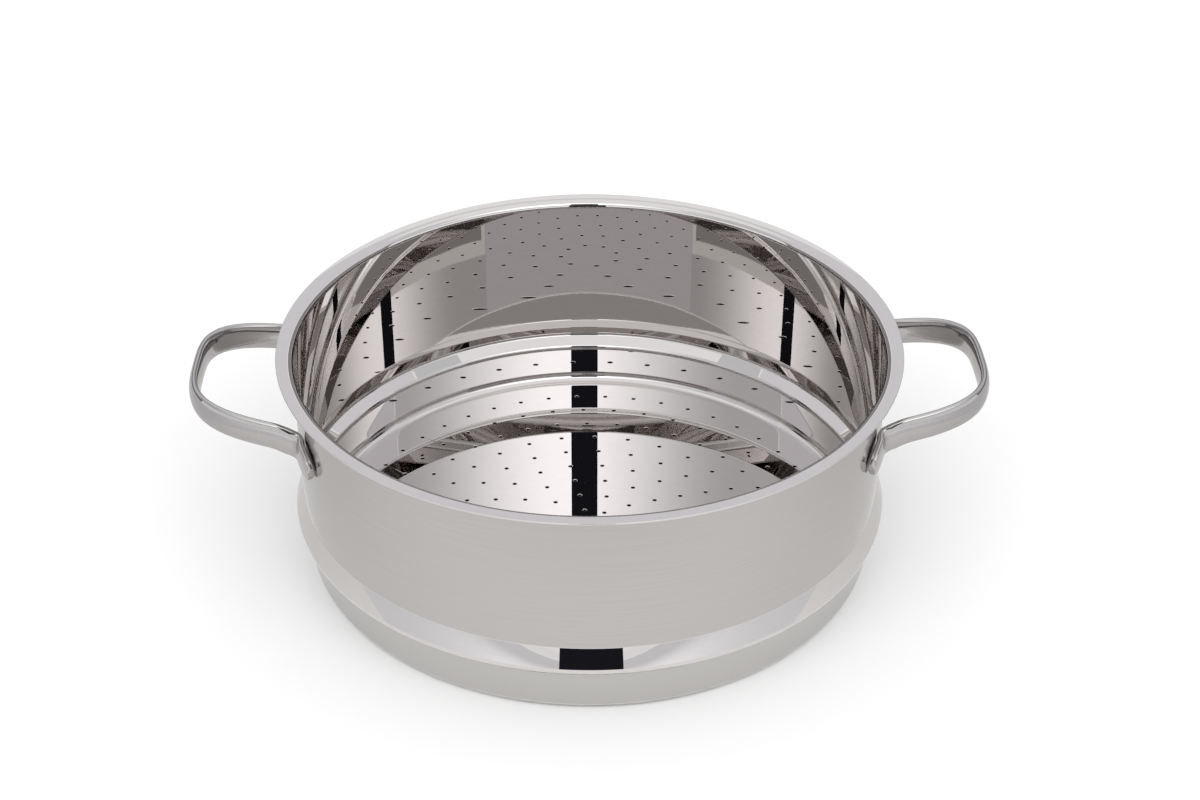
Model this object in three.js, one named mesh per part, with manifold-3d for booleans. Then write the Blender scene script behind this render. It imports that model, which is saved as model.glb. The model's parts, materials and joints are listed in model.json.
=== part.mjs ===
// Steaming tier of a steamer set: a drawn stainless shell with a perforated base, and two cast loop handles.
// Millimetres, +Z up. The base stands on z = 0, the handles lie along X and the front faces -Y.
import * as THREE from 'three';
import { mergeGeometries, mergeVertices } from 'three/addons/utils/BufferGeometryUtils.js';
import Module from 'manifold-3d';

const wasm = await Module();
wasm.setup();

// Shell: one sheet, so every corner below is on the middle of its thickness
const SHEET = 0.8;
const MOUTH_RADIUS = 140; // inside of the upper wall
const HEIGHT = 111; // base to the top of the flange
const FLANGE_REACH = 8.5; // flange edge, out from the inside of the wall
const FLANGE_BEND = 3.6;
const CREASE_HEIGHT = 37.9; // where the upper wall breaks into the flare
const CREASE_BEND = 3;
const BEAD_REACH = 4.5; // flare's foot, out from the inside of the wall
const BEAD_HEIGHT = 26.6;
const BEAD_BEND = 2.4;
const BAND_STEP = 2.1; // lower band, in from the upper wall
const SHOULDER_HEIGHT = 21.3; // where the slope under the bead meets the lower band
const SHOULDER_BEND = 3;
const CORNER_BEND = 5.2; // lower band into the flat base
const SHELL_SEGMENTS = 64;
const BEND_STEPS = 3;

// Punched holes: rings of holes that all share one hole direction
const HOLE_DIAMETER = 2.0;
const HOLE_SIDES = 6;
const HOLE_MARGIN = 13.3; // outermost ring of holes, in from the edge of the flat base
const RING_COUNTS = [8, 12, 16, 20, 24, 28, 36, 40, 48];
const PATTERN_TURN = THREE.MathUtils.degToRad(10);

// Handle: a strap of oval section, turned along the wall at both feet
const STRAP_THICKNESS = 5.4;
const STRAP_HEIGHT = 13.9;
const STRAP_SQUARENESS = 2.35; // 2 is a true ellipse
const LOOP_REACH = 46.7; // middle of the strap, out from the wall
const LOOP_SQUARENESS = 3.9;
const LEG_HALF_GAP = 44.8; // middle of a leg from the handle's centre, at the wall
const LEG_TAPER = 0.13; // legs close in by this much for each millimetre out
const LEG_DEPTH = 25.6; // middle of the strap below the flange, at the wall
const LEG_RISE = 0.18; // climb for each millimetre out
const LEG_LIFT = 0.00028; // further climb for each millimetre out, squared
const FOOT_THICKNESS = 3.7;
const FOOT_SQUARENESS = 4;
const FOOT_LENGTH = 19; // elbow to the foot's round tip, along the wall
const FOOT_DROP = 6; // tip's middle below the leg's line
const DROP_LENGTH = 14; // the drop spreads this far to each side of the elbow
const FOOT_BEND = 5.0;
const FOOT_GAP = 0.5; // weld projections hold the foot this far off the wall
const SECTION_SIDES = 16;
const TIP_STEPS = 4;
const FOOT_BEND_STEPS = 4;
const LOOP_STEPS = 12;

const wallOutside = MOUTH_RADIUS + SHEET;
const wallMiddle = MOUTH_RADIUS + SHEET / 2;
const bandMiddle = wallMiddle - BAND_STEP;

// Moves a run of corners sideways by a distance, so that the bends stay concentric
function offsetCorners(corners, distance) {
  const normals = corners.slice(1).map((corner, i) => {
    const along = corner.at.clone().sub(corners[i].at).normalize();
    return new THREE.Vector2(along.y, -along.x);
  });
  return corners.map((corner, i) => {
    const before = normals[Math.max(i - 1, 0)];
    const after = normals[Math.min(i, normals.length - 1)];
    const mitre = before.clone().add(after).divideScalar(1 + before.dot(after));
    const turn = Math.sign(before.cross(after));
    return {
      at: corner.at.clone().addScaledVector(mitre, distance),
      bend: corner.bend > 0 ? corner.bend + turn * distance : 0,
    };
  });
}

// Draws a run of corners with each bend rounded as an arc
function roundedRun(corners) {
  const points = [];
  corners.forEach(({ at, bend }, i) => {
    if (bend <= 0) {
      points.push(at.clone());
      return;
    }
    const back = corners[i - 1].at.clone().sub(at).normalize();
    const ahead = corners[i + 1].at.clone().sub(at).normalize();
    const halfAngle = Math.acos(back.dot(ahead)) / 2;
    const start = at.clone().addScaledVector(back, bend / Math.tan(halfAngle));
    const end = at.clone().addScaledVector(ahead, bend / Math.tan(halfAngle));
    const middle = back.clone().add(ahead).normalize().multiplyScalar(bend / Math.sin(halfAngle)).add(at);
    const sweep = Math.PI - 2 * halfAngle;
    const turn = Math.sign(start.clone().sub(middle).cross(end.clone().sub(middle)));
    for (let step = 0; step <= BEND_STEPS; step++) {
      const angle = turn * sweep * (step / BEND_STEPS);
      points.push(start.clone().rotateAround(middle, angle));
    }
  });
  return points;
}

// Welds a geometry into a closed solid that can be joined and cut
function toSolid(geometry) {
  const bare = geometry.clone();
  bare.deleteAttribute('normal');
  bare.deleteAttribute('uv');
  const welded = mergeVertices(bare, 1e-4);
  const triangles = [];
  for (let i = 0; i < welded.index.count; i += 3) {
    const [a, b, c] = [0, 1, 2].map((k) => welded.index.getX(i + k));
    if (a !== b && b !== c && c !== a) triangles.push(a, b, c);
  }
  return new wasm.Manifold(
    new wasm.Mesh({
      numProp: 3,
      vertProperties: new Float32Array(welded.attributes.position.array),
      triVerts: new Uint32Array(triangles),
    }),
  );
}

function toGeometry(solid) {
  const mesh = solid.getMesh();
  const geometry = new THREE.BufferGeometry();
  geometry.setAttribute('position', new THREE.BufferAttribute(new Float32Array(mesh.vertProperties), 3));
  geometry.setIndex(new THREE.BufferAttribute(new Uint32Array(mesh.triVerts), 1));
  geometry.computeVertexNormals();
  return geometry;
}

// Middle of the sheet, from the centre of the base out to the edge of the flange
function shellCorners() {
  const half = SHEET / 2;
  const corner = (radius, height, bend) => ({ at: new THREE.Vector2(radius, height), bend });
  return [
    corner(0, half, 0),
    corner(bandMiddle, half, CORNER_BEND),
    corner(bandMiddle, SHOULDER_HEIGHT, SHOULDER_BEND),
    corner(MOUTH_RADIUS + BEAD_REACH, BEAD_HEIGHT, BEAD_BEND),
    corner(wallMiddle, CREASE_HEIGHT, CREASE_BEND),
    corner(wallMiddle, HEIGHT - half, FLANGE_BEND),
    corner(MOUTH_RADIUS + FLANGE_REACH, HEIGHT - half, 0),
  ];
}

function shellBlank() {
  const middle = shellCorners();
  const outside = roundedRun(offsetCorners(middle, SHEET / 2));
  const inside = roundedRun(offsetCorners(middle, -SHEET / 2));
  const profile = [...outside, ...inside.reverse()];
  return toSolid(new THREE.LatheGeometry(profile, SHELL_SEGMENTS).rotateX(Math.PI / 2));
}

function holePunches() {
  const length = 4 * SHEET;
  const pitch = (bandMiddle - CORNER_BEND - HOLE_MARGIN) / RING_COUNTS.length;
  const punches = RING_COUNTS.flatMap((count, ring) =>
    Array.from({ length: count }, (_, i) => {
      const angle = PATTERN_TURN + (2 * Math.PI * i) / count;
      const radius = pitch * (ring + 1);
      return new THREE.CylinderGeometry(HOLE_DIAMETER / 2, HOLE_DIAMETER / 2, length, HOLE_SIDES)
        .rotateX(Math.PI / 2)
        .translate(radius * Math.cos(angle), radius * Math.sin(angle), SHEET / 2);
    }),
  );
  return toSolid(mergeGeometries(punches));
}

// Stations of one half of the right-hand handle, from the foot's tip to the middle of the grip
function handleHalf() {
  const footRadius = wallOutside + FOOT_GAP + FOOT_THICKNESS / 2;
  const legAngle = Math.asin((LEG_HALF_GAP + LEG_TAPER * (wallOutside - footRadius)) / footRadius);
  const legWay = new THREE.Vector2(1, -LEG_TAPER).normalize();
  const footWay = new THREE.Vector2(-Math.sin(legAngle), Math.cos(legAngle));
  const elbow = new THREE.Vector2(Math.cos(legAngle), Math.sin(legAngle)).multiplyScalar(footRadius);
  const halfAngle = Math.acos(legWay.dot(footWay)) / 2;
  const tangent = FOOT_BEND / Math.tan(halfAngle);
  const halfFoot = STRAP_HEIGHT / 2;
  const plan = [];

  // Foot: a tongue along the wall with a round tip
  for (let step = 1; step <= TIP_STEPS; step++) {
    const turn = (step / TIP_STEPS) * (Math.PI / 2);
    const fromElbow = FOOT_LENGTH - halfFoot * (1 - Math.cos(turn));
    const angle = legAngle + fromElbow / footRadius;
    const at = new THREE.Vector2(Math.cos(angle), Math.sin(angle)).multiplyScalar(footRadius);
    plan.push({ at, halfHeight: halfFoot * Math.sin(turn), blend: 0, fromElbow: -fromElbow });
  }

  // Elbow: the strap leaves the wall
  const middle = legWay.clone().add(footWay).normalize().multiplyScalar(FOOT_BEND / Math.sin(halfAngle)).add(elbow);
  const start = elbow.clone().addScaledVector(footWay, tangent);
  for (let step = 0; step <= FOOT_BEND_STEPS; step++) {
    const blend = step / FOOT_BEND_STEPS;
    const at = start.clone().rotateAround(middle, (Math.PI - 2 * halfAngle) * blend);
    plan.push({ at, halfHeight: halfFoot, blend, fromElbow: tangent * (2 * blend - 1) });
  }

  // Leg and grip: a squared loop whose legs close in
  for (let step = 1; step <= LOOP_STEPS; step++) {
    const angle = (step / LOOP_STEPS) ** 2 * (Math.PI / 2);
    const out = LOOP_REACH * Math.sin(angle) ** (2 / LOOP_SQUARENESS);
    const half = (LEG_HALF_GAP - LEG_TAPER * out) * Math.cos(angle) ** (2 / LOOP_SQUARENESS);
    const at = new THREE.Vector2(wallOutside + out, half);
    plan.push({ at, halfHeight: halfFoot, blend: 1, fromElbow: at.distanceTo(elbow) });
  }
  return plan.map(({ at, halfHeight, blend, fromElbow }) => {
    const out = at.x - wallOutside;
    const legHeight = HEIGHT - LEG_DEPTH + LEG_RISE * out + LEG_LIFT * out * out;
    const drop = FOOT_DROP * (1 - THREE.MathUtils.smoothstep(fromElbow, -DROP_LENGTH, DROP_LENGTH));
    return {
      centre: new THREE.Vector3(at.x, at.y, legHeight - drop),
      halfHeight,
      halfThickness: THREE.MathUtils.lerp(FOOT_THICKNESS, STRAP_THICKNESS, blend) / 2,
      squareness: THREE.MathUtils.lerp(FOOT_SQUARENESS, STRAP_SQUARENESS, blend),
    };
  });
}

// Skins a run of oval sections and closes both ends
function loft(stations) {
  const positions = [];
  const triangles = [];
  const up = new THREE.Vector3(0, 0, 1);
  const last = stations.length - 1;
  stations.forEach((station, i) => {
    const along = stations[Math.min(i + 1, last)].centre.clone().sub(stations[Math.max(i - 1, 0)].centre);
    const side = along.clone().cross(up).normalize();
    const tall = side.clone().cross(along).normalize();
    for (let k = 0; k < SECTION_SIDES; k++) {
      const angle = (2 * Math.PI * k) / SECTION_SIDES;
      const oval = (value) => Math.sign(value) * Math.abs(value) ** (2 / station.squareness);
      const point = station.centre
        .clone()
        .addScaledVector(side, station.halfThickness * oval(Math.cos(angle)))
        .addScaledVector(tall, station.halfHeight * oval(Math.sin(angle)));
      positions.push(...point.toArray());
    }
  });
  for (let i = 0; i < last; i++) {
    for (let k = 0; k < SECTION_SIDES; k++) {
      const a = i * SECTION_SIDES + k;
      const b = i * SECTION_SIDES + ((k + 1) % SECTION_SIDES);
      triangles.push(a, b + SECTION_SIDES, b, a, a + SECTION_SIDES, b + SECTION_SIDES);
    }
  }
  const lastRing = last * SECTION_SIDES;
  for (let k = 1; k < SECTION_SIDES - 1; k++) {
    triangles.push(0, k, k + 1);
    triangles.push(lastRing, lastRing + k + 1, lastRing + k);
  }
  const geometry = new THREE.BufferGeometry();
  geometry.setAttribute('position', new THREE.Float32BufferAttribute(positions, 3));
  geometry.setIndex(triangles);
  return geometry;
}

function handleGeometry() {
  const half = handleHalf();
  const mirrored = half
    .slice(0, -1)
    .reverse()
    .map((station) => ({ ...station, centre: station.centre.clone().multiply(new THREE.Vector3(1, -1, 1)) }));
  return toGeometry(toSolid(loft([...half, ...mirrored])));
}

const polished = new THREE.MeshStandardMaterial({ color: 0xc9c7c4, roughness: 0.12, metalness: 1 });
const cast = new THREE.MeshStandardMaterial({ color: 0xc4c2c0, roughness: 0.18, metalness: 1 });

function addPiece(group, name, geometry, material) {
  const mesh = new THREE.Mesh(geometry, material);
  mesh.name = name;
  group.add(mesh);
}

const group = new THREE.Group();
addPiece(group, 'shell', toGeometry(shellBlank().subtract(holePunches())), polished);
addPiece(group, 'handle_right', handleGeometry(), cast);
addPiece(group, 'handle_left', handleGeometry().rotateZ(Math.PI), cast);

export default group;
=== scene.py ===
import json
import math

import bmesh
import bpy
from mathutils import Matrix, Vector

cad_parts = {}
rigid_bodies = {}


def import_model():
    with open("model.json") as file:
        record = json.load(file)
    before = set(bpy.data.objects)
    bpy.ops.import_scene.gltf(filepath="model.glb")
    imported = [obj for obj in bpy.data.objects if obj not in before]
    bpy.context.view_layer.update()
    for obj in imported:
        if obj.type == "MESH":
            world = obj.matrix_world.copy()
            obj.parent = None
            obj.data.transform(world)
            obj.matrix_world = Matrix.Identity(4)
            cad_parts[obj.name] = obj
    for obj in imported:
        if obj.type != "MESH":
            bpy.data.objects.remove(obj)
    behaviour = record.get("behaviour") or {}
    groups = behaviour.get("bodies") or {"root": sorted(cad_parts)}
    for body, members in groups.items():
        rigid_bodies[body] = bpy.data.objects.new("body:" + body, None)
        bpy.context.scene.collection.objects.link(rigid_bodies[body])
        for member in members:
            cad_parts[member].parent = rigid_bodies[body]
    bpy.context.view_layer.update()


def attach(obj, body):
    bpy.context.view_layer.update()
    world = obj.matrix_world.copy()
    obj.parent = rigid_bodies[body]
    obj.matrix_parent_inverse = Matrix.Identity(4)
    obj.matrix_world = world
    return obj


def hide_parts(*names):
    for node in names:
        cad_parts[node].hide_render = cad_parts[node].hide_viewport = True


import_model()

bpy.ops.object.select_all(action="DESELECT")

# Shell: one disc of stainless sheet, deep drawn into a cup. The wall is rolled out to a bead and in again
# to a narrower lower band, and the edge is turned out as a flat flange. It is mirror polished, then the
# underside and the outside of the wall and of the lower band are brushed to a satin.
MM = 0.001
SHEET = 0.8 * MM
SHELL_SEGMENTS = 256
BEND_STEPS = 8
WALL = 140.4 * MM  # radius of the upper wall, as all radii here at the middle of the sheet
BAND = 138.3 * MM
BEAD = 144.5 * MM
FLANGE = 148.5 * MM
HEIGHT = 111 * MM
BASE_HEIGHT = SHEET / 2
SHOULDER_HEIGHT = 21.3 * MM
BEAD_HEIGHT = 26.6 * MM
CREASE_HEIGHT = 37.9 * MM
FLANGE_HEIGHT = HEIGHT - SHEET / 2
CORNER_BEND = 5.2 * MM
SHOULDER_BEND = 3 * MM
BEAD_BEND = 2.4 * MM
CREASE_BEND = 2.5 * MM
FLANGE_BEND = 3.6 * MM
BASE = BAND - CORNER_BEND  # radius of the flat base
FLAT_RIM = 3 * MM  # flat ring between the first disc and the corner
RING_TOLERANCE = 0.01 * MM

shell_corners = [  # radius, height and bend, from the base out to the edge of the flange
    (BASE - FLAT_RIM, BASE_HEIGHT, 0),
    (BAND, BASE_HEIGHT, CORNER_BEND),
    (BAND, SHOULDER_HEIGHT, SHOULDER_BEND),
    (BEAD, BEAD_HEIGHT, BEAD_BEND),
    (WALL, CREASE_HEIGHT, CREASE_BEND),
    (WALL, FLANGE_HEIGHT, FLANGE_BEND),
    (FLANGE, FLANGE_HEIGHT, 0),
]


def select_ring(piece, radius, height):
    """Selects the ring of edges at this radius and height, in edit mode."""
    mesh = bmesh.from_edit_mesh(piece.data)
    bpy.ops.mesh.select_all(action="DESELECT")
    for edge in mesh.edges:
        places = [(vert.co.xy.length - radius, vert.co.z - height) for vert in edge.verts]
        edge.select = all(abs(out) < RING_TOLERANCE and abs(up) < RING_TOLERANCE for out, up in places)
    mesh.select_flush_mode()
    bmesh.update_edit_mesh(piece.data)


def apply_modifier(piece, kind, **settings):
    """Adds a modifier with these settings and applies it."""
    modifier = piece.modifiers.new(kind.lower(), kind)
    for name, value in settings.items():
        setattr(modifier, name, value)
    bpy.context.view_layer.objects.active = piece
    bpy.ops.object.modifier_apply(modifier=modifier.name)


radius, height, _ = shell_corners[0]
bpy.ops.mesh.primitive_circle_add(
    vertices=SHELL_SEGMENTS, radius=radius, fill_type="NGON", location=(0, 0, height)
)
shell = bpy.context.object
shell.name = "shell_sheet"
bpy.ops.object.transform_apply()
bpy.ops.object.mode_set(mode="EDIT")
bpy.ops.mesh.select_mode(type="EDGE")
bpy.ops.mesh.select_all(action="SELECT")
for next_radius, next_height, _ in shell_corners[1:]:
    bpy.ops.mesh.extrude_edges_move(TRANSFORM_OT_translate={"value": (0, 0, next_height - height)})
    grow = next_radius / radius
    bpy.ops.transform.resize(value=(grow, grow, 1), center_override=(0, 0, 0))
    radius, height = next_radius, next_height
for before, corner, after in zip(shell_corners, shell_corners[1:], shell_corners[2:]):
    way_in = Vector(corner[:2]) - Vector(before[:2])
    way_out = Vector(after[:2]) - Vector(corner[:2])
    select_ring(shell, corner[0], corner[1])
    bpy.ops.mesh.bevel(
        offset=corner[2] * math.tan(way_in.angle(way_out) / 2), segments=BEND_STEPS, affect="EDGES"
    )
bpy.ops.mesh.select_all(action="SELECT")
bpy.ops.mesh.normals_make_consistent(inside=False)
bpy.ops.object.mode_set(mode="OBJECT")
apply_modifier(shell, "SOLIDIFY", thickness=SHEET, offset=0, use_even_offset=True)

# Cut edge of the flange, tumbled round
EDGE_ROUND = 0.25 * MM
EDGE_STEPS = 3
bpy.ops.object.mode_set(mode="EDIT")
for side in (-1, 1):
    select_ring(shell, FLANGE, FLANGE_HEIGHT + side * SHEET / 2)
    bpy.ops.mesh.bevel(offset=EDGE_ROUND, segments=EDGE_STEPS, affect="EDGES")
bpy.ops.object.mode_set(mode="OBJECT")

# Steam holes: round holes punched from above in rings, so the upper edge of each is rolled in
HOLE_RADIUS = 1 * MM
HOLE_SIDES = 18
HOLE_ROLL = 0.25 * MM
ROLL_STEPS = 3
HOLE_MARGIN = 13.3 * MM
RING_COUNTS = (8, 12, 16, 20, 24, 28, 36, 40, 48)
RING_PITCH = (BASE - HOLE_MARGIN) / len(RING_COUNTS)
PATTERN_TURN = math.radians(10)
FACING = 0.9  # a face counts as facing a way when its normal has this much of it
base_top = BASE_HEIGHT + SHEET / 2
bpy.ops.object.select_all(action="DESELECT")
bpy.ops.mesh.primitive_cube_add(size=MM)
punches = bpy.context.object
bpy.ops.object.mode_set(mode="EDIT")
bpy.ops.mesh.delete(type="VERT")
bpy.ops.mesh.select_mode(type="FACE")
for ring, count in enumerate(RING_COUNTS, start=1):
    spot = Vector((math.cos(PATTERN_TURN), math.sin(PATTERN_TURN), 0)) * RING_PITCH * ring
    punch_low = BASE_HEIGHT - SHEET
    punch_high = base_top - HOLE_ROLL
    bpy.ops.mesh.select_all(action="DESELECT")
    bpy.ops.mesh.primitive_cylinder_add(
        vertices=HOLE_SIDES,
        radius=HOLE_RADIUS,
        depth=punch_high - punch_low,
        location=spot + Vector((0, 0, (punch_low + punch_high) / 2)),
    )
    mesh = bmesh.from_edit_mesh(punches.data)
    whole = [face for face in mesh.faces if face.select]
    for face in whole:
        face.select = face.normal.z > FACING
    mesh.select_flush_mode()
    width = HOLE_RADIUS
    for step in range(1, ROLL_STEPS + 1):
        turn = step / ROLL_STEPS * math.pi / 2
        rise = HOLE_ROLL * (math.sin(turn) - math.sin(turn - math.pi / 2 / ROLL_STEPS))
        new_width = HOLE_RADIUS + HOLE_ROLL * (1 - math.cos(turn))
        bpy.ops.mesh.extrude_region_move(TRANSFORM_OT_translate={"value": (0, 0, rise)})
        bpy.ops.transform.resize(value=(new_width / width, new_width / width, 1), center_override=spot)
        width = new_width
    bpy.ops.mesh.extrude_region_move(TRANSFORM_OT_translate={"value": (0, 0, SHEET)})
    bpy.ops.mesh.select_linked()
    bpy.ops.mesh.spin(
        steps=count - 1,
        angle=2 * math.pi * (count - 1) / count,
        dupli=True,
        center=(0, 0, 0),
        axis=(0, 0, 1),
    )
bpy.ops.object.mode_set(mode="OBJECT")
apply_modifier(shell, "BOOLEAN", object=punches, operation="DIFFERENCE", solver="EXACT")
bpy.data.objects.remove(punches)


def smooth(piece, angle):
    """Shades a piece smooth, apart from edges sharper than this angle in degrees."""
    bpy.ops.object.select_all(action="DESELECT")
    piece.select_set(True)
    bpy.context.view_layer.objects.active = piece
    bpy.ops.object.shade_smooth_by_angle(angle=math.radians(angle))


SHELL_SHARP = 35
smooth(shell, SHELL_SHARP)
apply_modifier(shell, "WEIGHTED_NORMAL", mode="FACE_AREA", weight=100, keep_sharp=True)


def polishing_marks():
    """Group for the marks of a polishing wheel: fine lines, long one way, and slow waves of the sheet."""
    group = bpy.data.node_groups.new("polishing marks", "ShaderNodeTree")
    face = group.interface
    face.new_socket("Line Scale", in_out="INPUT", socket_type="NodeSocketVector")
    face.new_socket("Wave Scale", in_out="INPUT", socket_type="NodeSocketVector")
    face.new_socket("Lines", in_out="OUTPUT", socket_type="NodeSocketFloat")
    face.new_socket("Waves", in_out="OUTPUT", socket_type="NodeSocketFloat")
    nodes, links = group.nodes, group.links
    given = nodes.new("NodeGroupInput")
    result = nodes.new("NodeGroupOutput")
    place = nodes.new("ShaderNodeTexCoord")
    for scale, mark, detail in (("Line Scale", "Lines", 5), ("Wave Scale", "Waves", 1)):
        stretch = nodes.new("ShaderNodeVectorMath")
        stretch.operation = "MULTIPLY"
        noise = nodes.new("ShaderNodeTexNoise")
        noise.inputs["Scale"].default_value = 1
        noise.inputs["Detail"].default_value = detail
        links.new(place.outputs["Object"], stretch.inputs[0])
        links.new(given.outputs[scale], stretch.inputs[1])
        links.new(stretch.outputs[0], noise.inputs["Vector"])
        links.new(noise.outputs["Fac"], result.inputs[mark])
    return group


MARKS = polishing_marks()


def steel(name, dark, light, rough, line_scale, line_depth, wave_scale, wave_depth):
    """Bare stainless: tone and roughness follow the polishing lines, and the waves bend the reflections."""
    material = bpy.data.materials.new(name)
    material.use_nodes = True
    nodes, links = material.node_tree.nodes, material.node_tree.links
    shader = nodes["Principled BSDF"]
    shader.inputs["Metallic"].default_value = 1
    marks = nodes.new("ShaderNodeGroup")
    marks.node_tree = MARKS
    marks.inputs["Line Scale"].default_value = line_scale
    marks.inputs["Wave Scale"].default_value = wave_scale
    tone = nodes.new("ShaderNodeMix")
    tone.data_type = "RGBA"
    tone.inputs["A"].default_value = (*dark, 1)
    tone.inputs["B"].default_value = (*light, 1)
    links.new(marks.outputs["Lines"], tone.inputs["Factor"])
    links.new(tone.outputs["Result"], shader.inputs["Base Color"])
    gloss = nodes.new("ShaderNodeMapRange")
    gloss.inputs["To Min"].default_value = rough[0]
    gloss.inputs["To Max"].default_value = rough[1]
    links.new(marks.outputs["Lines"], gloss.inputs["Value"])
    links.new(gloss.outputs["Result"], shader.inputs["Roughness"])
    normal = None
    for mark, depth in (("Waves", wave_depth), ("Lines", line_depth)):
        bump = nodes.new("ShaderNodeBump")
        bump.inputs["Distance"].default_value = depth
        links.new(marks.outputs[mark], bump.inputs["Height"])
        if normal:
            links.new(normal, bump.inputs["Normal"])
        normal = bump.outputs["Normal"]
    links.new(normal, shader.inputs["Normal"])
    return material


MIRROR = steel(
    "mirror steel",
    dark=(0.675, 0.655, 0.645),
    light=(0.715, 0.695, 0.685),
    rough=(0.006, 0.014),
    line_scale=(160, 160, 900),
    line_depth=0.00004 * MM,
    wave_scale=(16, 16, 22),
    wave_depth=0.03 * MM,
)
SATIN = steel(
    "satin steel",
    dark=(0.50, 0.488, 0.475),
    light=(0.56, 0.548, 0.535),
    rough=(0.11, 0.18),
    line_scale=(24, 24, 2600),
    line_depth=0.003 * MM,
    wave_scale=(10, 10, 12),
    wave_depth=0.03 * MM,
)
shell.data.materials.append(MIRROR)
shell.data.materials.append(SATIN)
for face in shell.data.polygons:
    outward = face.normal.xy.dot(face.center.xy) > FACING * face.center.xy.length
    on_wall = CREASE_HEIGHT < face.center.z < FLANGE_HEIGHT - FLANGE_BEND
    on_band = face.center.z < SHOULDER_HEIGHT
    underneath = face.normal.z < -FACING and face.center.z < base_top
    face.material_index = 1 if underneath or (outward and (on_wall or on_band)) else 0
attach(shell, "root")
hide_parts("shell")

# Handles: solid stainless castings, tumble polished. Each is an oval strap in a squared loop that climbs
# outwards, with both ends flattened, turned along the wall and welded to it on small projections.
STRAP_THICKNESS = 5.4 * MM
STRAP_HEIGHT = 13.9 * MM
STRAP_SQUARENESS = 2  # a true ellipse
FOOT_THICKNESS = 3.7 * MM
FOOT_SQUARENESS = 4
FOOT_LENGTH = 18 * MM
FOOT_DROP = 6 * MM
DROP_LENGTH = 14 * MM  # the drop spreads this far to each side of the elbow
FOOT_BLEND = 10 * MM  # the foot turns into the strap over this length
TIP_SHARE = 0.02  # keeps the very tip from closing to a line
FOOT_BEND = 5 * MM
FOOT_GAP = 0.5 * MM
LOOP_REACH = 46.7 * MM
LOOP_SQUARENESS = 3.4
LEG_HALF_GAP = 44.8 * MM
LEG_TAPER = 0.13
LEG_DEPTH = 25.6 * MM
LEG_RISE = 0.18
LEG_LIFT = 0.28  # per metre
STRAP_SIDES = 32
STRAP_STEP = 0.5 * MM
FOOT_STEPS = 12
ELBOW_STEPS = 16
LOOP_STEPS = 60
wall_outside = WALL + SHEET / 2


def ease(share):
    """Runs from 0 to 1 with a soft start and end, and stays there on both sides."""
    share = min(max(share, 0), 1)
    return share * share * (3 - 2 * share)


def handle_line():
    """Middle line of the right-hand handle from the tip of its near foot to the tip of its far foot."""
    foot_radius = wall_outside + FOOT_GAP + FOOT_THICKNESS / 2
    leg_line = Vector((1, -LEG_TAPER))
    leg_way = leg_line.normalized()
    leg_sine = (LEG_HALF_GAP + LEG_TAPER * wall_outside) / (leg_line.length * foot_radius)
    leg_angle = math.asin(leg_sine) - math.atan(LEG_TAPER)
    foot_way = Vector((-math.sin(leg_angle), math.cos(leg_angle)))
    elbow = Vector((math.cos(leg_angle), math.sin(leg_angle))) * foot_radius
    half_angle = leg_way.angle(foot_way) / 2
    tangent = FOOT_BEND / math.tan(half_angle)
    plan = []  # place seen from above, and the way along the strap from the elbow
    for step in range(FOOT_STEPS):
        away = FOOT_LENGTH + (tangent - FOOT_LENGTH) * step / FOOT_STEPS
        angle = leg_angle + away / foot_radius
        plan.append((Vector((math.cos(angle), math.sin(angle))) * foot_radius, -away))
    start, end = elbow + foot_way * tangent, elbow + leg_way * tangent
    middle = elbow + (leg_way + foot_way).normalized() * FOOT_BEND / math.sin(half_angle)
    for step in range(ELBOW_STEPS):
        share = step / ELBOW_STEPS
        turn = Matrix.Rotation((math.pi - 2 * half_angle) * share, 2)
        plan.append((middle + turn @ (start - middle), tangent * (2 * share - 1)))
    first_out = end.x - wall_outside
    for step in range(LOOP_STEPS + 1):
        angle = (step / LOOP_STEPS) ** 2 * math.pi / 2
        out = LOOP_REACH * math.sin(angle) ** (2 / LOOP_SQUARENESS)
        half = (LEG_HALF_GAP - LEG_TAPER * out) * math.cos(angle) ** (2 / LOOP_SQUARENESS)
        if out > first_out:
            spot = Vector((wall_outside + out, half))
            plan.append((spot, (spot - elbow).length))
    line = []
    for spot, along in plan:
        out = spot.x - wall_outside
        drop = FOOT_DROP * (1 - ease((along + DROP_LENGTH) / (2 * DROP_LENGTH)))
        rise = HEIGHT - LEG_DEPTH + LEG_RISE * out + LEG_LIFT * out * out
        line.append(Vector((spot.x, spot.y, rise - drop)))
    return line + [Vector((spot.x, -spot.y, spot.z)) for spot in reversed(line[:-1])]


line = handle_line()
length = sum((after - before).length for before, after in zip(line, line[1:]))
bpy.ops.curve.primitive_nurbs_path_add(radius=1)
bend = bpy.context.object
bend.data.splines.clear()
spline = bend.data.splines.new("POLY")
spline.points.add(len(line) - 1)
for point, spot in zip(spline.points, line):
    point.co = (*spot, 1)
bend.data.dimensions = "3D"
bend.data.twist_mode = "Z_UP"

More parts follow.
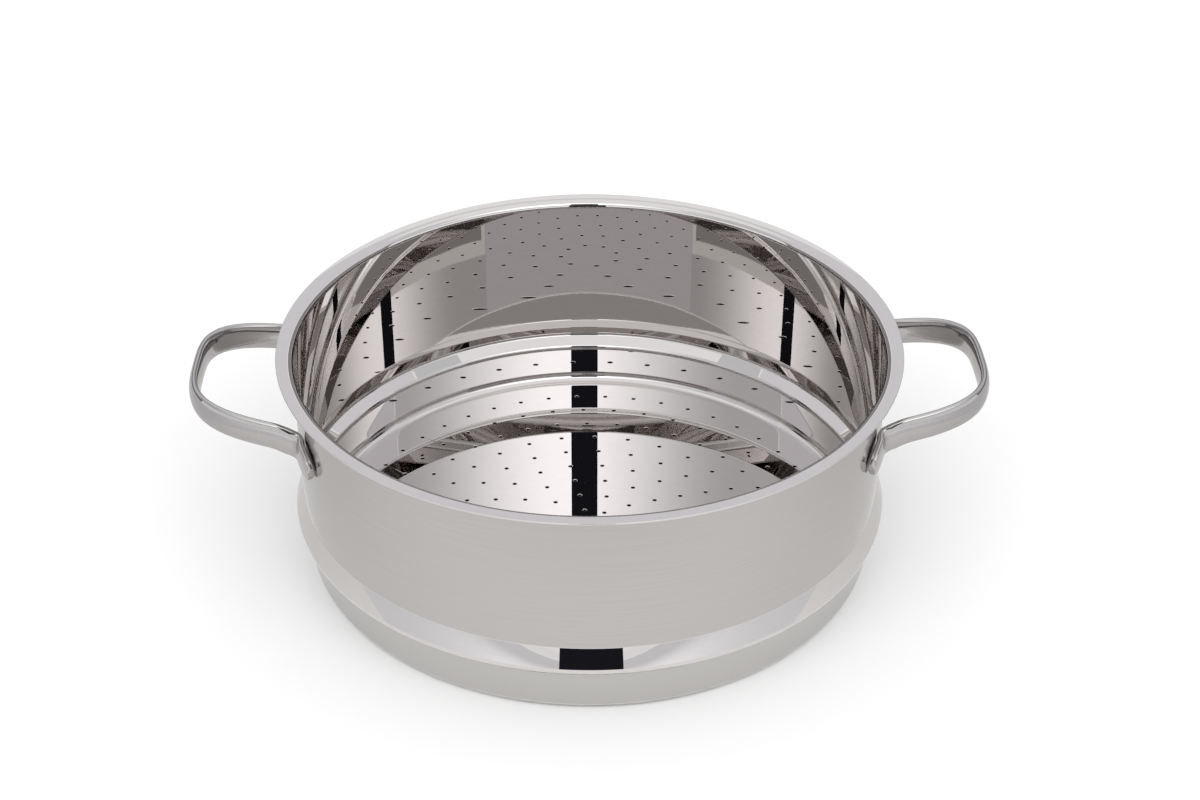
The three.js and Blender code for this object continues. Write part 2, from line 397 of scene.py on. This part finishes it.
bpy.ops.object.select_all(action="DESELECT")
bpy.ops.mesh.primitive_circle_add(
    vertices=STRAP_SIDES, radius=1, fill_type="NGON", rotation=(0, math.pi / 2, 0)
)
handle = bpy.context.object
handle.name = "handle_right_loop"
bpy.ops.object.transform_apply()
bpy.ops.object.mode_set(mode="EDIT")
bpy.ops.mesh.select_mode(type="FACE")
bpy.ops.mesh.select_all(action="SELECT")
steps = round(length / STRAP_STEP)
for step in range(steps):
    bpy.ops.mesh.extrude_region_move(TRANSFORM_OT_translate={"value": (length / steps, 0, 0)})
bpy.ops.mesh.select_all(action="SELECT")
bpy.ops.mesh.normals_make_consistent(inside=False)
bpy.ops.object.mode_set(mode="OBJECT")
half_foot = STRAP_HEIGHT / 2
for vert in handle.data.vertices:
    from_tip = min(vert.co.x, length - vert.co.x)
    blend = ease((from_tip - FOOT_LENGTH) / FOOT_BLEND + 0.5)
    power = 2 / (FOOT_SQUARENESS + (STRAP_SQUARENESS - FOOT_SQUARENESS) * blend)
    thick = FOOT_THICKNESS + (STRAP_THICKNESS - FOOT_THICKNESS) * blend
    inset = max(1 - from_tip / half_foot, 0)
    tall = STRAP_HEIGHT * math.sqrt(max(1 - inset * inset, TIP_SHARE))
    vert.co.y = math.copysign(abs(vert.co.y) ** power, vert.co.y) * thick / 2
    vert.co.z = math.copysign(abs(vert.co.z) ** power, vert.co.z) * tall / 2
apply_modifier(handle, "CURVE", object=bend, deform_axis="POS_X")
bpy.data.objects.remove(bend)
HANDLE_SHARP = 50
smooth(handle, HANDLE_SHARP)

CAST = steel(
    "cast steel",
    dark=(0.47, 0.455, 0.45),
    light=(0.54, 0.525, 0.52),
    rough=(0.04, 0.09),
    line_scale=(700, 700, 700),
    line_depth=0.002 * MM,
    wave_scale=(60, 60, 60),
    wave_depth=0.08 * MM,
)
handle.data.materials.append(CAST)
bpy.ops.object.select_all(action="DESELECT")
handle.select_set(True)
bpy.ops.object.duplicate()
other_handle = bpy.context.object
other_handle.name = "handle_left_loop"
other_handle.rotation_euler = (0, 0, math.pi)
bpy.ops.object.transform_apply()
for piece, node in ((handle, "handle_right"), (other_handle, "handle_left")):
    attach(piece, "root")
    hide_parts(node)

# Floor: a plain white sweep that keeps the shadow. Under the base, where no light gets in, it is painted near
# black, a painted shade, so the steam holes look black from above. It lies a hair below the underside, so the
# two never mix.
FLOOR_SIZE = 16
FLOOR_DROP = 0.2 * MM
FLOOR_WHITE = (0.9, 0.9, 0.9, 1)
# painted shade: near black floor colour under the base, standing in for the shade there
FLOOR_PAINTED_SHADE = (0.03, 0.028, 0.027, 1)
PAINTED_SHADE_EDGE = 2 * MM
bpy.ops.object.select_all(action="DESELECT")
bpy.ops.mesh.primitive_plane_add(size=FLOOR_SIZE, location=(0, 0, -FLOOR_DROP))
floor = bpy.context.object
floor.name = "floor"
white = bpy.data.materials.new("white floor")
white.use_nodes = True
floor_nodes, floor_links = white.node_tree.nodes, white.node_tree.links
paint = floor_nodes["Principled BSDF"]
paint.inputs["Roughness"].default_value = 1
paint.inputs["Specular IOR Level"].default_value = 0
floor_place = floor_nodes.new("ShaderNodeTexCoord")
from_middle = floor_nodes.new("ShaderNodeVectorMath")
from_middle.operation = "LENGTH"
floor_links.new(floor_place.outputs["Object"], from_middle.inputs[0])
painted_shade_fade = floor_nodes.new("ShaderNodeMapRange")
painted_shade_fade.inputs["From Min"].default_value = BASE - PAINTED_SHADE_EDGE
painted_shade_fade.inputs["From Max"].default_value = BASE
floor_links.new(from_middle.outputs["Value"], painted_shade_fade.inputs["Value"])
# mix from the painted shade under the base out to the white floor, by distance from the middle
floor_tone = floor_nodes.new("ShaderNodeMix")
floor_tone.data_type = "RGBA"
floor_tone.inputs["A"].default_value = FLOOR_PAINTED_SHADE
floor_tone.inputs["B"].default_value = FLOOR_WHITE
floor_links.new(painted_shade_fade.outputs["Result"], floor_tone.inputs["Factor"])
floor_links.new(floor_tone.outputs["Result"], paint.inputs["Base Color"])
floor.data.materials.append(white)

# Studio boards: glowing arcs round the pot that only reflections see, painted reflections so that the
# polished steel has something to show. Black ones stand in front, where the camera is, grey ones low in front
# and behind, and pale ones above and just over the floor, the floor ones a painted reflection of the floor,
# brighter in front and dimmer to the sides. The bright front one stands for a soft box, a painted highlight,
# so its middle is brighter than white.
BOARD_STEPS = 48
BLACK = (0.012, 0.012, 0.016)


def board(name, angles, edges, tone, hot=None):
    """A board bent round the pot between two angles from the front, in degrees to the right, and between
    two edges, each a distance from the axis and a height. A hot board glows more towards its middle, a
    painted
    highlight: hot gives that middle, the reach of the glow each way, and the strength at the edge and in the
    middle."""
    corners = []
    for step in range(BOARD_STEPS + 1):
        angle = math.radians(angles[0] + (angles[1] - angles[0]) * step / BOARD_STEPS)
        for away, height in edges:
            corners.append((away * math.sin(angle), -away * math.cos(angle), height))
    faces = [(2 * step, 2 * step + 2, 2 * step + 3, 2 * step + 1) for step in range(BOARD_STEPS)]
    mesh = bpy.data.meshes.new(name)
    mesh.from_pydata(corners, [], faces)
    arc = bpy.data.objects.new(name, mesh)
    bpy.context.scene.collection.objects.link(arc)
    material = bpy.data.materials.new(name)
    material.use_nodes = True
    nodes, links = material.node_tree.nodes, material.node_tree.links
    glow = nodes.new("ShaderNodeEmission")
    glow.inputs["Color"].default_value = (*tone, 1)
    links.new(glow.outputs[0], nodes["Material Output"].inputs["Surface"])
    if hot:
        middle, reach, edge_strength, middle_strength = hot
        place = nodes.new("ShaderNodeTexCoord")
        shape = nodes.new("ShaderNodeMapping")
        shape.vector_type = "TEXTURE"
        shape.inputs["Location"].default_value = middle
        shape.inputs["Scale"].default_value = reach
        fall = nodes.new("ShaderNodeTexGradient")
        fall.gradient_type = "SPHERICAL"
        strength = nodes.new("ShaderNodeMapRange")
        strength.interpolation_type = "SMOOTHSTEP"
        strength.inputs["To Min"].default_value = edge_strength
        strength.inputs["To Max"].default_value = middle_strength
        links.new(place.outputs["Object"], shape.inputs["Vector"])
        links.new(shape.outputs["Vector"], fall.inputs["Vector"])
        links.new(fall.outputs["Fac"], strength.inputs["Value"])
        links.new(strength.outputs["Result"], glow.inputs["Strength"])
    mesh.materials.append(material)
    arc.visible_camera = False
    arc.visible_diffuse = False
    arc.visible_shadow = False


# painted reflections: near black boards in front, where the steel mirrors the camera's side of the room
board("stand_foot", (-10.6, 9.9), ((1.25, 0.002), (1.25, 0.12)), BLACK)
board("stand", (-7.5, 7.5), ((1.25, 0.12), (1.25, 0.72)), BLACK)
board("camera_flag", (-4.5, 7.5), ((1.25, 0.808), (1.25, 1.28)), BLACK)
# painted reflections: a grey band low in front, and over it the soft box, a painted highlight brighter than
# white in its middle
board("dim_front", (-92, 92), ((1.4, 0.70), (1.4, 0.882)), (0.42, 0.41, 0.41))
board(
    "bright_front", (-95, 95), ((1.35, 0.882), (1.35, 2.2)), (0.97, 0.98, 1.0),
    hot=((0.26, -1.32, 1.0), (1.8, 1.8, 2.4), 0.70, 2.0),
)
# painted reflections: a pale board high behind and a grey one low behind
board("back", (95, 265), ((1.6, 0.95), (1.6, 2.4)), (0.80, 0.79, 0.83))
board("low_back", (85, 275), ((1.6, 0.15), (1.6, 0.84)), (0.30, 0.29, 0.30))
# painted reflection of the floor near the pot, brighter in front and dimmer to the sides and behind
board(
    "near_floor", (-180, 180), ((0.165, 0.0005), (0.32, 0.0005)), (1.0, 0.98, 0.97),
    hot=((0, -0.2, 0), (0.8, 0.3, 1), 0.68, 0.97),
)
# painted reflection of the far floor, brighter than white in front and dimmer to the sides and behind
board(
    "far_floor", (-180, 180), ((0.32, 0.0005), (3.0, 0.0005)), (0.98, 0.975, 1.0),
    hot=((0, -0.9, 0), (1.0, 0.95, 1), 0.74, 1.31),
)

# Soft boxes: two large ones in front and above, either side of the camera, turned to the pot. The boards
# already stand for them in the steel, so reflections leave them out.
BOX_WIDTH = 1.2
BOX_HEIGHT = 1.0
BOX_POWER = 8
BOX_PLACE = Vector((0.9, -1.3, 1.6))
BOX_AIM = Vector((0, 0, 0.05))
for side in (-1, 1):
    lamp = bpy.data.lights.new("soft box", "AREA")
    lamp.shape = "RECTANGLE"
    lamp.size = BOX_WIDTH
    lamp.size_y = BOX_HEIGHT
    lamp.energy = BOX_POWER
    box = bpy.data.objects.new("soft box", lamp)
    box.location = (side * BOX_PLACE.x, BOX_PLACE.y, BOX_PLACE.z)
    box.rotation_euler = (BOX_AIM - box.location).to_track_quat("-Z", "Y").to_euler()
    box.visible_glossy = False
    bpy.context.scene.collection.objects.link(box)

# Studio: plain white as the camera and the steel see it, and nearly the same as a fill light from all round.
# Light may bounce many times, because the pot's walls mirror each other.
FILL_STRENGTH = 1.05
scene = bpy.context.scene
world = bpy.data.worlds.new("white studio")
scene.world = world
world.use_nodes = True
sky_nodes, sky_links = world.node_tree.nodes, world.node_tree.links
seen = sky_nodes["Background"]
seen.inputs["Color"].default_value = (1, 1, 1, 1)
seen.inputs["Strength"].default_value = 1
fill = sky_nodes.new("ShaderNodeBackground")
fill.inputs["Color"].default_value = (1, 1, 1, 1)
fill.inputs["Strength"].default_value = FILL_STRENGTH
path = sky_nodes.new("ShaderNodeLightPath")
bare = None
for ray in ("Is Camera Ray", "Is Glossy Ray", "Is Transmission Ray"):
    either = sky_nodes.new("ShaderNodeMath")
    either.operation = "MAXIMUM"
    either.inputs[1].default_value = 0
    sky_links.new(path.outputs[ray], either.inputs[0])
    if bare:
        sky_links.new(bare.outputs[0], either.inputs[1])
    bare = either
pick = sky_nodes.new("ShaderNodeMixShader")
sky_links.new(bare.outputs[0], pick.inputs["Fac"])
sky_links.new(fill.outputs[0], pick.inputs[1])
sky_links.new(seen.outputs[0], pick.inputs[2])
sky_links.new(pick.outputs[0], sky_nodes["World Output"].inputs["Surface"])
scene.view_settings.view_transform = "Standard"
scene.cycles.max_bounces = 16
scene.cycles.glossy_bounces = 14

# Camera: a moderate lens about a metre from the pot, in front and a little over half a metre above the
# floor, looking down into it
LOOK_DOWN = 33.015
LOOK_ASIDE = -0.88
lens = bpy.data.cameras.new("camera")
lens.lens = 63.04
lens.sensor_width = 36
lens.shift_x = 0.0086
camera = bpy.data.objects.new("camera", lens)
camera.location = (-0.0131, -0.8540, 0.6312)
camera.rotation_euler = (math.radians(90 - LOOK_DOWN), 0, math.radians(LOOK_ASIDE))
scene.collection.objects.link(camera)
scene.camera = camera
